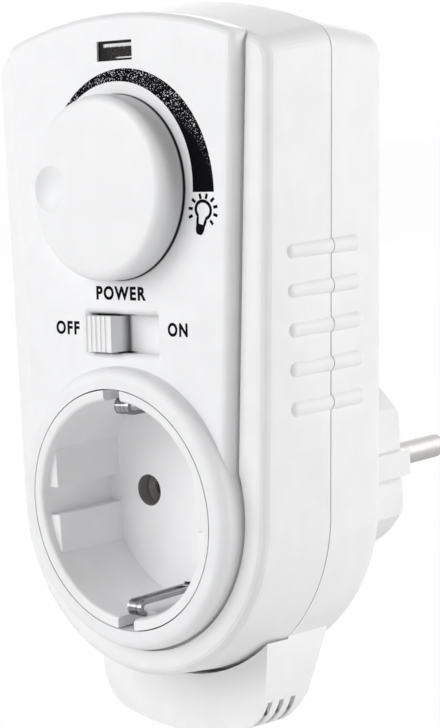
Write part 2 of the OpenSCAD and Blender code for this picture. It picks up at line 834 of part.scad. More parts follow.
// Insulating base that holds the two contact sleeves behind the well's floor
module contact_carrier() color("dimgray") upright() difference() {
    union() {
        post(carrier_r, carrier_back_h, floor_back_h);
        pin_places() post(tower_r, tower_back_h, floor_back_h);
    }
    pin_places() post(sleeve_r + tower_gap, tower_back_h - over, floor_back_h + over);
    translate([-clip_w / 2 - clip_gap, -carrier_r, floor_back_h - strip_t])
        cube([clip_w + 2 * clip_gap, 2 * carrier_r, strip_t + over]);
    post(earth_post_r + tower_gap, 0, plug_reach);
}

// Split spring sleeve that grips a plug pin, closed by a base behind
module contact_sleeve() color("goldenrod") upright() {
    difference() {
        post(sleeve_r, sleeve_end_h, sleeve_front_h);
        post(pin_r + sleeve_gap, sleeve_back_h, sleeve_front_h + over);
        translate([0, 0, sleeve_front_h - sleeve_mouth])
            cylinder(r1 = pin_r + sleeve_gap, r2 = pin_hole_r + sleeve_gap, h = sleeve_mouth);
        translate([-slit_w / 2, -sleeve_r - over, sleeve_back_h + slit_root])
            cube([slit_w, 2 * (sleeve_r + over), huge]);
    }
    translate([-tail_w / 2, -tail_t / 2, sleeve_end_h - sleeve_tail]) cube([tail_w, tail_t, sleeve_tail]);
}
module live_contact() translate([-pin_x, 0, 0]) contact_sleeve();
module neutral_contact() translate([pin_x, 0, 0]) contact_sleeve();

// Sprung earth strip: two clips that reach into the well, joined behind its floor
module earth_bow() color("silver") {
    back = -floor_back_h;
    front = -(plug_reach - nose_set - nose_r);
    difference() {
        strip_across(clip_w) {
            translate([back, -clip_z - strip_t]) square([strip_t, 2 * (clip_z + strip_t)]);
            both_ends() {
                translate([front, clip_z]) square([back - front + strip_t / 2, strip_t]);
                translate([front, clip_z + nose_r]) intersection() {
                    difference() {
                        circle(nose_r);
                        circle(nose_r - strip_t);
                    }
                    translate([-2 * nose_r, -2 * nose_r]) square([2 * nose_r, 4 * nose_r]);
                }
            }
        }
        strip_across(channel_w) both_ends() translate([front - nose_r, clip_z - over])
            square([nose_r - front - floor_h - channel_end, over + channel_depth]);
    }
}
// A side view drawn in YZ, w wide across the middle
module strip_across(w) rotate([90, 0, 90]) linear_extrude(w, center = true) children();

// Earth strips along the plug's upper and lower sides, joined inside the plug
module plug_earth_bow() color("silver") upright() {
    translate([-earth_w / 2, strip_t - plug_flat_z, earth_link_h - strip_t])
        cube([earth_w, 2 * (plug_flat_z - strip_t), strip_t]);
    both_ends() translate([-earth_w / 2, plug_flat_z - strip_t, earth_tip_h])
        cube([earth_w, strip_t, earth_link_h - earth_tip_h]);
}

// Post that joins the two earth strips through the carrier
module earth_post() color("peru") upright() post(earth_post_r, earth_link_h, floor_back_h - strip_t);

// Plug pin with a round tip, a thicker root in the plug's face, a collar behind it and a tail
module plug_pin() color("gainsboro") rotate([-90, 0, 0]) rotate_extrude() union() {
    square([pin_r, pin_len - pin_tip_r]);
    translate([0, -plug_face_t]) square([pin_root_r, plug_face_t]);
    square([pin_r - pin_tip_r, pin_len]);
    translate([pin_r - pin_tip_r, pin_len - pin_tip_r]) intersection() {
        circle(pin_tip_r);
        square(pin_tip_r);
    }
    translate([0, -plug_face_t - pin_collar_t]) square([pin_collar_r, pin_collar_t]);
    translate([0, -tail_h]) square([pin_tail_r, tail_h]);
}
module live_pin() translate([-pin_x, 0, 0]) plug_pin();
module neutral_pin() translate([pin_x, 0, 0]) plug_pin();

// Strip from the neutral pin to the neutral contact
module neutral_strip() color("goldenrod") upright()
    translate([pin_x - tail_w / 2, -tail_t / 2, tail_h])
        cube([tail_w, tail_t, sleeve_end_h - sleeve_tail - tail_h]);

// Insulated lead along straight runs with round elbows
module lead(points, r) for (k = [1 : len(points) - 1]) {
    run = points[k] - points[k - 1];
    translate(points[k - 1]) rotate([0, acos(run[2] / norm(run)), atan2(run[1], run[0])])
        cylinder(r = r, h = norm(run));
    if (k < len(points) - 1) translate(points[k]) sphere(r);
}
module live_lead() color("saddlebrown") upright() lead([
    [-pin_x, 0, tail_h], [-pin_x, 0, tail_h + lead_turn], [-pin_x, lead_low_z, tail_h + lead_turn],
    [-pin_x, lead_low_z, lead_rise_h], [-pin_x, lead_z, lead_rise_h], [-pin_x, lead_z, lead_end_h]
], lead_r);
module load_lead() color("black") upright() lead([
    [-pin_x, 0, sleeve_end_h - sleeve_tail], [-pin_x, 0, load_h], [load_x, 0, load_h],
    [load_x, load_low_z, load_h], [load_x, load_low_z, load_rise_h], [load_x, lead_z, load_rise_h],
    [load_x, lead_z, lead_end_h]
], lead_r);
module neutral_lead() color("royalblue") upright() lead([
    [pin_x, tail_t / 2, tail_h + 2 * lead_turn], [pin_x, lead_low_z, tail_h + 2 * lead_turn],
    [pin_x, lead_low_z, lead_rise_h], [pin_x, lead_z, lead_rise_h], [pin_x, lead_z, lead_end_h]
], lead_r);

// Circuit board on the front shell's posts
module circuit_board() color("darkgreen") leaned() difference() {
    translate([0, (board_low_z + board_high_z) / 2]) slab(board_d, board_back_d)
        centred_square(2 * board_half, board_high_z - board_low_z);
    board_post_places() slab(board_d - over, board_back_d + over) circle(board_screw_r + screw_slack);
}
module board_screws() color("silver") leaned() board_post_places() {
    slab(board_d - board_screw_len + screw_point, board_back_d) circle(board_screw_r);
    slab(board_back_d, board_back_d + board_screw_head_t) circle(board_screw_head_r);
}

// Rotary control behind the seat plate: body with a threaded bush, shaft and nut
module control_body() color("slategray") leaned() translate([0, knob_z]) difference() {
    union() {
        slab(seat_back_d, seat_back_d + control_len) circle(control_r);
        slab(panel_t - bush_set, seat_back_d + over) circle(bush_r);
        for (k = [-1 : 1]) translate([k * terminal_pitch, terminal_in - control_r])
            slab(seat_back_d + control_len - over, board_d) circle(terminal_r);
    }
    slab(0, seat_back_d + control_len - control_base) circle(shaft_r + shaft_gap);
}
module control_shaft() color("gainsboro") leaned() translate([0, knob_z]) difference() {
    slab(-knob_h + knob_wall, seat_back_d + control_len - control_base - shaft_end_gap) circle(shaft_r);
    translate([shaft_r / 2, -shaft_r, knob_gap]) cube([shaft_r, 2 * shaft_r, knob_h]);
}
module control_nut() color("silver") leaned() translate([0, knob_z]) difference() {
    slab(seat_d - nut_t, seat_d) circle(bush_r + nut_wall, $fn = 6);
    slab(0, seat_d + over) circle(bush_r + shaft_gap);
}

// Round knob with a finger dimple, hollow behind, with a boss for the flatted shaft
module dimmer_knob() color("white") leaned() translate([0, knob_z]) difference() {
    union() {
        rotate_extrude() difference() {
            translate([0, knob_h]) edge_section(0, knob_r, knob_h - knob_gap, knob_edge_r);
            translate([0, -over]) square([knob_r - knob_wall, knob_h - knob_wall + over]);
        }
        slab(-knob_h + knob_wall / 2, -knob_gap) circle(shaft_r + knob_wall);
    }
    difference() {
        slab(-knob_h + knob_wall, over) circle(shaft_r + shaft_gap);
        translate([shaft_r / 2 + shaft_gap, -2 * shaft_r, 0]) cube([shaft_r, 4 * shaft_r, knob_h]);
    }
    translate([-dimple_x, 0, knob_h + dimple_ball_r - dimple_depth]) sphere(dimple_ball_r);
}

// Slide switch: fixed body, the contact carriage inside it and the ribbed slider in front
module switch_body() color("black") leaned() translate([0, switch_z]) difference() {
    slab(seat_back_d, board_d) centred_square(switch_body_w, switch_body_h);
    slab(seat_back_d - over, board_d - switch_wall)
        centred_square(switch_body_w - 2 * switch_wall, switch_body_h - 2 * switch_wall);
}
module switch_carriage() color("dimgray") leaned() translate([slider_rest_x, switch_z]) difference() {
    slab(carriage_d, carriage_d + carriage_t) centred_square(carriage_w, carriage_h);
    slab(carriage_d - over, carriage_d + stem_grip) centred_square(stem_w, stem_h);
}
module switch_slider() color("white") leaned() translate([slider_rest_x, switch_z]) difference() {
    union() {
        slab(-slider_proud, cover_d + cover_t) centred_square(slider_w, slider_h);
        slab(cover_d, cover_d + cover_t)
            centred_square(switch_w + slider_travel + 2 * cover_lap, switch_h + 2 * cover_lap);
        slab(0, carriage_d + stem_grip) centred_square(stem_w, stem_h);
    }
    for (k = [0 : slider_ribs - 2]) translate([
        (k + 1 - slider_ribs / 2) * slider_w / slider_ribs, 0, slider_proud + slider_groove_out
    ]) rotate([90, 0, 0]) cylinder(r = slider_groove_r, h = 2 * slider_h, center = true);
}

// Smoked window over the mains lamp
module indicator_lens() color([0.05, 0.05, 0.05]) leaned() translate([0, lens_z]) {
    slab(lens_set, seat_d) centred_square(lens_w - slip_gap, lens_h - slip_gap);
    slab(panel_t / 2, seat_d)
        centred_square(lens_w + 2 * (skirt_t - slip_gap), lens_h + 2 * (skirt_t - slip_gap));
}

// Neon lamp behind the window, on its two wires
module neon_lamp() color("orangered") leaned() translate([0, lens_z - lamp_drop]) {
    translate([-lamp_len / 2, 0, -lamp_d]) rotate([0, 90, 0]) cylinder(r = lamp_r, h = lamp_len);
    both_sides() translate([lamp_len / 2 - lamp_wire_in, 0]) slab(lamp_d, board_d) circle(lamp_wire_r);
}

// Power parts on the back of the board
module heat_sink() color("darkgray") leaned() translate([triac_x, triac_z + sink_t / 2])
    slab(board_back_d, board_back_d + sink_h) centred_square(sink_w, sink_t);
module triac() color("black") leaned() translate([triac_x, triac_z + sink_t + triac_t / 2]) {
    slab(board_back_d + triac_lift, board_back_d + sink_h - triac_short) centred_square(triac_w, triac_t);
    for (k = [-1 : 1]) translate([k * triac_leg_pitch, 0])
        slab(board_back_d, board_back_d + triac_lift + triac_leg_t) centred_square(triac_leg_w, triac_leg_t);
}
module film_capacitor() color("goldenrod") leaned() translate([cap_x, cap_z])
    slab(board_back_d, rear_inner_d - cap_room) centred_square(cap_w, cap_t);
module fuse() color("lightcyan") leaned() translate([fuse_x - fuse_len / 2, fuse_z, -fuse_d])
    rotate([0, 90, 0]) cylinder(r = fuse_r, h = fuse_len);
module fuse_clips() color("silver") leaned() for (s = [1, -1])
    translate([fuse_x + s * (fuse_len / 2 - fuse_clip_in), fuse_z]) difference() {
        slab(board_back_d, fuse_d + fuse_r / 2) centred_square(fuse_clip_w, 2 * (fuse_r + fuse_clip_wall));
        translate([0, 0, -fuse_d]) rotate([0, 90, 0])
            cylinder(r = fuse_r + seat_gap, h = fuse_clip_w + 2 * over, center = true);
        slab(fuse_d, fuse_d + 2 * fuse_r) centred_square(fuse_clip_w + over, 2 * (fuse_r - fuse_clip_lip));
    }
module resistors() color("tan") leaned() for (place = [
    [resistor_x, resistor_low_z + resistor_pitch], [resistor_x, resistor_low_z],
    [-resistor_x, resistor_high_z]
]) translate([place[0] - resistor_len / 2, place[1], -board_back_d - resistor_r])
    rotate([0, 90, 0]) cylinder(r = resistor_r, h = resistor_len);

// Rod choke in the block, on its two leads
module choke_core() color("darkslategray") choke_rod(choke_r);
module choke_winding() color("chocolate") upright() translate([0, choke_z, choke_h]) rotate([0, 90, 0])
    difference() {
        cylinder(r = winding_r, h = winding_len, center = true);
        cylinder(r = choke_r, h = winding_len + over, center = true);
    }
module choke_leads() color("firebrick") upright() both_sides() lead([
    [choke_len / 2, choke_z, choke_h], [choke_low_x, choke_z, choke_h],
    [choke_low_x, choke_z, choke_back_h], [choke_low_x, choke_bend_z, choke_back_h],
    [choke_low_x, choke_bend_z, choke_rise_h], [choke_low_x, choke_pass_z, choke_rise_h],
    [choke_high_x, choke_pass_z, choke_rise_h],
    [choke_high_x, lead_z, choke_rise_h], [choke_high_x, lead_z, lead_end_h]
], wire_r);

// Fasteners
module insert_screws() color("silver") upright() insert_screw_places() {
    post(insert_screw_r, flange_h - flange_t, flange_h + insert_screw_len - screw_point);
    post(insert_screw_head_r, flange_h - flange_t - insert_screw_head_t, flange_h - flange_t);
}
module housing_screws() color("silver") {
    leaned() upper_screw_places() {
        slab(seam_d - screw_bite, rear_d - screw_sink) circle(screw_r);
        slab(rear_d - screw_sink, rear_d - screw_sink + screw_head_t) circle(screw_head_r);
    }
    upright() lower_screw_places() {
        head_h = lean_h(rear_d, ear_z) + screw_sink;
        post(screw_r, head_h, ear_back_h + screw_bite - screw_point);
        post(screw_head_r, head_h - screw_head_t, head_h);
    }
}

front_shell();
front_panel();
rear_shell();
socket_insert();
contact_carrier();
live_contact();
neutral_contact();
earth_bow();
plug_earth_bow();
earth_post();
live_pin();
neutral_pin();
neutral_strip();
live_lead();
load_lead();
neutral_lead();
circuit_board();
board_screws();
control_body();
control_shaft();
control_nut();
dimmer_knob();
switch_body();
switch_carriage();
switch_slider();
indicator_lens();
neon_lamp();
triac();
heat_sink();
film_capacitor();
fuse();
fuse_clips();
resistors();
choke_core();
choke_winding();
choke_leads();
insert_screws();
housing_screws();
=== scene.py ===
import math
import bmesh
import bpy
from mathutils import Matrix, Vector


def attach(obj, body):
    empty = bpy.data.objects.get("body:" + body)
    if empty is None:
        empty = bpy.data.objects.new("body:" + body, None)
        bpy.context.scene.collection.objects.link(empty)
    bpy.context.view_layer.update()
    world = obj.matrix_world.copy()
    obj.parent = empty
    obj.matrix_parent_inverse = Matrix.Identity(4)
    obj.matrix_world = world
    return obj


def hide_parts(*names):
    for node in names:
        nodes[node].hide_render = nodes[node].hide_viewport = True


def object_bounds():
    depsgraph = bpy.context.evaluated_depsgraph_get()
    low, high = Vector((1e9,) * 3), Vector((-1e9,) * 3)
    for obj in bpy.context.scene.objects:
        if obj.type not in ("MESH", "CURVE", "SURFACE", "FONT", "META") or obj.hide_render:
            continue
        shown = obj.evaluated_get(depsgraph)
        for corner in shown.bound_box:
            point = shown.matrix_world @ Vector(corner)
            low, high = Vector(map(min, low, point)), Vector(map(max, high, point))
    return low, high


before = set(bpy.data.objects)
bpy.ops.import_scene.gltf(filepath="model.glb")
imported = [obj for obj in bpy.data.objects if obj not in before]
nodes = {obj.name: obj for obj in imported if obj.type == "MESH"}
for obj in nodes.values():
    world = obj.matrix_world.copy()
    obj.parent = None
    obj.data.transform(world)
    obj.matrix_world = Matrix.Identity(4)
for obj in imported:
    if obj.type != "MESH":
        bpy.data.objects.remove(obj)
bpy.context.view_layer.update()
MM = 0.001

# Housing: two white moulded shells that meet at a fine seam and are screwed together from behind.
# The plastic has a fine eroded grain and is a little uneven in tone and gloss.
NOISE_LOW = 0.3
NOISE_HIGH = 0.7
PLASTIC_IOR = 1.49
TONE_PATCH = 6.0 * MM
GLOSS_PATCH = 1.5 * MM
PIT_SIZE = 2.4
PIT_WEIGHT = 0.5
GRAIN_STRENGTH = 0.5
WAVE_RATE = 20.0
# Colour of the painted shade deep in a narrow gap.
UNLIT = (0.02, 0.02, 0.022)


class Field:
    """A shader value that adds, subtracts and multiplies like a number."""

    def __init__(self, shading, socket):
        self.shading = shading
        self.socket = socket

    def maths(self, operation, first, second=0.0):
        made = self.shading.node("ShaderNodeMath", {"operation": operation}, {0: first, 1: second})
        return Field(self.shading, made.outputs[0])

    def __add__(self, other):
        return self.maths("ADD", self, other)

    def __radd__(self, other):
        return self.maths("ADD", other, self)

    def __sub__(self, other):
        return self.maths("SUBTRACT", self, other)

    def __rsub__(self, other):
        return self.maths("SUBTRACT", other, self)

    def __mul__(self, other):
        return self.maths("MULTIPLY", self, other)

    def __rmul__(self, other):
        return self.maths("MULTIPLY", other, self)

    def __pow__(self, other):
        return self.maths("POWER", self, other)

    def __abs__(self):
        return self.maths("ABSOLUTE", self)

    def larger(self, other):
        return self.maths("MAXIMUM", self, other)

    def angle_over(self, other):
        return self.maths("ARCTAN2", self, other)

    def step(self, low, high, out_low=0.0, out_high=1.0):
        made = self.shading.node("ShaderNodeMapRange", {"interpolation_type": "SMOOTHSTEP"}, {
            "Value": self, "From Min": low, "From Max": high, "To Min": out_low, "To Max": out_high,
        })
        return Field(self.shading, made.outputs["Result"])

    def spread(self, low=0.0, high=1.0):
        """A noise's middle range, stretched from low to high."""
        return self.step(NOISE_LOW, NOISE_HIGH, low, high)


class Shading:
    """A node tree whose nodes all come from one method."""

    def __init__(self, tree):
        self.tree = tree

    def set_socket(self, socket, value):
        link = value.socket if isinstance(value, Field) else value
        if isinstance(link, bpy.types.NodeSocket):
            self.tree.links.new(link, socket)
        else:
            socket.default_value = link

    def node(self, kind, settings, values):
        made = self.tree.nodes.new(kind)
        for key, value in settings.items():
            setattr(made, key, value)
        for key, value in values.items():
            self.set_socket(made.inputs[key], value)
        return made


class Finish(Shading):
    """One procedural material in object coordinates, in metres."""

    def __init__(self, name, **sockets):
        self.material = bpy.data.materials.new(name)
        self.material.use_nodes = True
        super().__init__(self.material.node_tree)
        self.shader = self.tree.nodes["Principled BSDF"]
        self.place = self.node("ShaderNodeTexCoord", {}, {}).outputs["Object"]
        for socket, value in sockets.items():
            self.feed(socket.replace("_", " "), value)

    def feed(self, name, value):
        self.set_socket(self.shader.inputs[name], value)

    def stretched(self, x, y, z):
        made = self.node("ShaderNodeMapping", {}, {"Vector": self.place, "Scale": (x, y, z)})
        return made.outputs["Vector"]

    def noise(self, size, detail=2.0, place=None):
        made = self.node("ShaderNodeTexNoise", {}, {
            "Vector": place or self.place, "Scale": 1.0 / size, "Detail": detail,
        })
        return Field(self, made.outputs["Fac"])

    def cells(self, size):
        made = self.node("ShaderNodeTexVoronoi", {}, {"Vector": self.place, "Scale": 1.0 / size})
        return Field(self, made.outputs["Distance"])

    def bands(self, pitch, direction, distortion=0.0):
        made = self.node("ShaderNodeTexWave", {"bands_direction": direction}, {
            "Vector": self.place, "Scale": math.tau / (WAVE_RATE * pitch), "Distortion": distortion,
        })
        return Field(self, made.outputs["Fac"])

    def axis(self, name):
        made = self.node("ShaderNodeSeparateXYZ", {}, {"Vector": self.place})
        return Field(self, made.outputs[name])

    def mix(self, field, first, second):
        ends = [(*end, 1.0) if isinstance(end, tuple) else end for end in (first, second)]
        made = self.node("ShaderNodeMix", {"data_type": "RGBA"}, {0: field, 6: ends[0], 7: ends[1]})
        return made.outputs[2]

    def colour(self, field, dark, light):
        self.feed("Base Color", self.mix(field, dark, light))

    def rough(self, field):
        self.feed("Roughness", field)

    def bump(self, field, height, strength):
        made = self.node("ShaderNodeBump", {}, {"Height": field, "Distance": height, "Strength": strength})
        self.feed("Normal", made.outputs["Normal"])

    def coat(self, piece):
        piece.data.materials.clear()
        piece.data.materials.append(self.material)

    def on(self, *names):
        for name in names:
            self.coat(nodes[name])


def moulded_white(name, dark, light, grain, grain_height, gloss, lit=None, unlit=UNLIT):
    """White plastic, in patches a little darker and glossier than others; where lit is 0, deep in a narrow
    gap, shade is painted into its colour.
    """
    finish = Finish(name, IOR=PLASTIC_IOR)
    tone = finish.mix(finish.noise(TONE_PATCH, 3.0).spread(), dark, light)
    if lit:
        tone = finish.mix(lit(finish), unlit, tone)
    finish.feed("Base Color", tone)
    finish.rough(finish.noise(GLOSS_PATCH).spread(*gloss))
    pits = finish.cells(PIT_SIZE * grain) * PIT_WEIGHT
    finish.bump(finish.noise(grain, 3.0) + pits, grain_height, GRAIN_STRENGTH)
    return finish


shell_white = moulded_white(
    "shell_white", (0.885, 0.885, 0.885), (0.91, 0.91, 0.91), 0.18 * MM, 0.01 * MM, (0.46, 0.58)
)
shell_white.on("front_shell", "rear_shell")

# Rear shell: the housing's rear half, moulded in one with the plug and the vented block below.
# The block's two lower corners are rounded along its depth here, so that its vents curve under it.
LEAN = math.radians(3.0)
PANEL_Y = -59.5
CORNER_R = 8.5
CORNER_X = 11.83
CORNER_Z = -32.29
CORNER_FACETS = 160
CUT_LEFT = 14.0
CUT_RIGHT = 26.0
CUT_TOP = -32.9
CUT_LOW = -48.0
CUT_FRONT = 11.0
CUT_REAR = 28.0
SKIN_MERGE = 0.0002
SKIN_SMOOTH = math.radians(28.0)
panel_frame = Matrix.Translation((0.0, PANEL_Y, 0.0)) @ Matrix.Rotation(math.pi / 2 - LEAN, 4, "X")


def make_active(piece):
    bpy.ops.object.select_all(action="DESELECT")
    piece.select_set(True)
    bpy.context.view_layer.objects.active = piece


def block_between(low, high):
    """A block between two corners, in millimetres."""
    bpy.ops.object.select_all(action="DESELECT")
    middle = [(a + b) / 2 for a, b in zip(low, high)]
    bpy.ops.mesh.primitive_cube_add(size=1.0, location=middle)
    block = bpy.context.object
    block.scale = [abs(b - a) for a, b in zip(low, high)]
    bpy.ops.object.transform_apply(location=True, scale=True)
    return block


def combine(piece, tool, operation):
    """Cuts a tool's form out of a piece, or adds it, and deletes the tool."""
    make_active(piece)
    made = piece.modifiers.new("combine", "BOOLEAN")
    made.operation = operation
    made.solver = "EXACT"
    made.object = tool
    bpy.ops.object.modifier_apply(modifier="combine")
    bpy.data.objects.remove(tool)


def skin_of(name, node_name):
    """A copy of a CAD node as one closed skin, in millimetres."""
    skin = bpy.data.objects.new(name, nodes[node_name].data.copy())
    skin.data.transform(Matrix.Scale(1.0 / MM, 4))
    bpy.context.scene.collection.objects.link(skin)
    make_active(skin)
    bpy.ops.mesh.customdata_custom_splitnormals_clear()
    bpy.ops.object.mode_set(mode="EDIT")
    bpy.ops.mesh.select_all(action="SELECT")
    bpy.ops.mesh.remove_doubles(threshold=SKIN_MERGE)
    bpy.ops.object.mode_set(mode="OBJECT")
    return skin


def finish_skin(skin, finish):
    """Brings a skin back to metres, smooths its round faces and gives it its plastic."""
    skin.data.transform(Matrix.Scale(MM, 4))
    make_active(skin)
    bpy.ops.object.shade_smooth_by_angle(angle=SKIN_SMOOTH)
    finish.coat(skin)


rounded_shell = skin_of("rounded_shell", "rear_shell")
for sign in (-1.0, 1.0):
    corner = block_between(
        (sign * CUT_LEFT, CUT_LOW, -CUT_REAR),
        (sign * CUT_RIGHT, CUT_TOP, -CUT_FRONT),
    )
    bpy.ops.object.select_all(action="DESELECT")
    bpy.ops.mesh.primitive_cylinder_add(
        vertices=CORNER_FACETS, radius=CORNER_R, depth=2.0 * CUT_REAR,
        location=(sign * CORNER_X, CORNER_Z, 0.0)
    )
    roller = bpy.context.object
    bpy.ops.object.transform_apply(location=True)
    combine(corner, roller, "DIFFERENCE")
    corner.data.transform(panel_frame)
    combine(rounded_shell, corner, "DIFFERENCE")
finish_skin(rounded_shell, shell_white)
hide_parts("rear_shell")
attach(rounded_shell, "housing")

# Front panel: a raised plate of the same white plastic, set in the front shell with a groove round it.
# Its eroded face is slightly coarser than the shells'. Shade is painted into its colour under the knob.
KNOB_Z = 56.8
KNOB_R = 16.2
KNOB_SHADE = 0.3


def panel_up(finish):
    """How far up along the leaned panel a point is, in metres."""
    return finish.axis("Z") * math.cos(LEAN) + (finish.axis("Y") - PANEL_Y * MM) * math.sin(LEAN)


def panel_lift(finish):
    """How far ahead of the leaned panel's face a point is, in metres."""
    return finish.axis("Z") * math.sin(LEAN) - (finish.axis("Y") - PANEL_Y * MM) * math.cos(LEAN)


def reach_of(across, upward):
    """How far from an axis a point is, from its distances across and upward."""
    return (across * across + upward * upward) ** 0.5


def clear_of_knob(finish):
    """Painted shade: 0 under the knob and 1 outside its edge."""
    reach = reach_of(finish.axis("X"), panel_up(finish) - KNOB_Z * MM)
    return reach.step(KNOB_R * MM, (KNOB_R + KNOB_SHADE) * MM)


panel_white = moulded_white(
    "panel_white", (0.888, 0.89, 0.9), (0.912, 0.914, 0.924), 0.24 * MM, 0.014 * MM, (0.4, 0.52),
    clear_of_knob
)
panel_white.on("front_panel")

# Print on the panel: a wedge-shaped scale round the knob that grows clockwise from nothing.
# It is black ink, a few hundredths of a millimetre thick, and specked where it is thin.
INK_LOW = -0.02
INK_HIGH = 0.03
INK_IOR = 1.45
INK_SHINE = 0.02
INK_BLACK = (0.004, 0.0035, 0.005)
INK_SPECK = (0.74, 0.73, 0.75)
INK_CLOUDS = 0.8 * MM
INK_RELIEF = 0.4
HALF_PLATE = 0.5
PRINT_MERGE = 0.0005
SCALE_Z = 57.2
SCALE_IN = 18.08
SCALE_WIDE = 4.88
SCALE_START_IN = -4.5
SCALE_START_OUT = -3.55
SCALE_STOP = 160.0
SCALE_STEPS = 136
SPECK_SIZE = 0.23 * MM
SPECK_RANGE = (0.635, 0.675)
THIN_TURN = 7.1 * MM
THIN_FROM = 22.5 * MM
THIN_TO = 24.6 * MM


def panel_point(x, z, lift):
    """A point of the leaned panel in metres, from millimetres across, up along the face and ahead of it."""
    y = PANEL_Y + z * math.sin(LEAN) - lift * math.cos(LEAN)
    return Vector((x, y, z * math.cos(LEAN) + lift * math.sin(LEAN))) * MM


def print_on_panel(name, sheet, finish, box=None):
    """Makes a drawing or a word a thin plate of ink on the panel, stretched to a box if one is given."""
    make_active(sheet)
    sheet.data.extrude = HALF_PLATE
    bpy.ops.object.convert(target="MESH")
    piece = bpy.context.object
    piece.name = name
    bpy.ops.object.mode_set(mode="EDIT")
    bpy.ops.mesh.select_all(action="SELECT")
    bpy.ops.mesh.remove_doubles(threshold=PRINT_MERGE)
    bpy.ops.object.mode_set(mode="OBJECT")
    drawn_x = [v.co.x for v in piece.data.vertices]
    drawn_z = [v.co.y for v in piece.data.vertices]
    drawn = (min(drawn_x), min(drawn_z), max(drawn_x), max(drawn_z))
    left, low, right, high = box or drawn
    for v in piece.data.vertices:
        x = left + (right - left) * (v.co.x - drawn[0]) / (drawn[2] - drawn[0])
        z = low + (high - low) * (v.co.y - drawn[1]) / (drawn[3] - drawn[1])
        v.co = panel_point(x, z, INK_LOW + (INK_HIGH - INK_LOW) * (v.co.z + HALF_PLATE))
    bpy.ops.object.mode_set(mode="EDIT")
    bpy.ops.mesh.normals_make_consistent(inside=False)
    bpy.ops.object.mode_set(mode="OBJECT")
    finish.coat(piece)
    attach(piece, "housing")


def flat_curve(loops):
    """A filled flat curve over closed loops; a loop inside another is a hole."""
    drawing = bpy.data.curves.new("drawing", "CURVE")
    drawing.dimensions = "2D"
    drawing.fill_mode = "BOTH"
    for loop in loops:
        line = drawing.splines.new("POLY")
        line.points.add(len(loop) - 1)
        for point, (x, z) in zip(line.points, loop):
            point.co = (x, z, 0.0, 1.0)
        line.use_cyclic_u = True
    sheet = bpy.data.objects.new("drawing", drawing)
    bpy.context.scene.collection.objects.link(sheet)
    return sheet


def scale_edge(start, width):
    """One edge of the scale, whose distance from the inner circle falls from width to nothing."""
    edge = []
    for k in range(SCALE_STEPS + 1):
        share = k / SCALE_STEPS
        angle = math.radians(start + (SCALE_STOP - start) * share)
        reach = SCALE_IN + width * (1.0 - share)
        edge.append((reach * math.cos(angle), SCALE_Z + reach * math.sin(angle)))
    return edge


speckled = Finish("speckled_ink", IOR=INK_IOR, Specular_IOR_Level=INK_SHINE)
across = speckled.axis("X")
upward = panel_up(speckled) - SCALE_Z * MM
grains = speckled.noise(SPECK_SIZE, 0.5)
thin_part = (reach_of(across, upward) + upward.angle_over(across) * THIN_TURN).step(THIN_FROM, THIN_TO)
speckled.colour(grains.step(*SPECK_RANGE) * thin_part, INK_BLACK, INK_SPECK)
speckled.rough(speckled.noise(INK_CLOUDS).spread(0.5, 0.65))
speckled.bump(grains, 0.01 * MM, INK_RELIEF)
inner_edge = scale_edge(SCALE_START_IN, 0.0)
outer_edge = scale_edge(SCALE_START_OUT, SCALE_WIDE)[:-1]
print_on_panel("scale_print", flat_curve([inner_edge + outer_edge[::-1]]), speckled)

# Words by the switch, in a plain bold face and the same ink: what it switches, off and on.
# Each is stretched to its own box on the panel, given by its left, low, right and high edges.
WORD_BOLD = 0.038
WORD_SPACE = 1.22
WORD_CURVE_STEPS = 8
WORDS = {
    "word_power": ("POWER", (-6.1, 37.02, 6.2, 39.48)),
    "word_off": ("OFF", (-16.7, 30.61, -10.7, 33.06)),
    "word_on": ("ON", (11.3, 30.97, 16.0, 33.38)),
}
ink = Finish("ink", IOR=INK_IOR, Specular_IOR_Level=INK_SHINE)
ink.colour(ink.noise(0.3 * MM, 3.0).step(0.35, 0.75), INK_BLACK, (0.01, 0.009, 0.011))
ink.rough(ink.noise(INK_CLOUDS).spread(0.45, 0.6))
ink.bump(ink.noise(0.12 * MM), 0.006 * MM, INK_RELIEF)
for name, (text, box) in WORDS.items():
    bpy.ops.object.select_all(action="DESELECT")
    bpy.ops.object.text_add()
    word = bpy.context.object
    word.data.body = text
    word.data.offset = WORD_BOLD
    word.data.space_character = WORD_SPACE
    word.data.resolution_u = WORD_CURVE_STEPS
    print_on_panel(name, word, ink, box)

# Lamp sign beside the scale's wide end: an outlined globe with a neck, a dark rounded cap and nine rays.
# The same ink, drawn a little askew as it is on the panel.
GLOBE = Vector((20.37, 52.74))
CAP = Vector((19.25, 48.54))
GLOBE_WIDE = 1.74
GLOBE_TALL = 1.5
GLOBE_STEPS = 48
LINE = 0.56
NECK_ANGLE = 36.0
NECK_HALF = 0.8
NECK_FLARE = 0.12
NECK_START = 1.75
NECK_END = 2.6
CAP_SIDE = ((2.5, 1.02), (3.5, 0.96), (4.05, 0.76), (4.34, 0.38))
RAY_LONG = 0.95
RAY_HALF = 0.26
RAYS = (
    (-0.65, 2.3), (0.77, 2.28), (2.13, 1.69), (2.8, 0.51), (2.78, -0.89),
    (1.86, -2.13), (-2.16, 1.58), (-2.9, 0.27), (-2.95, -1.1),
)
down = (CAP - GLOBE).normalized()
side = Vector((-down.y, down.x))


def sign_point(along, out):
    """A point of the sign, from its distances down the sign's middle line and out from it."""
    return (GLOBE + down * along + side * out)[:]


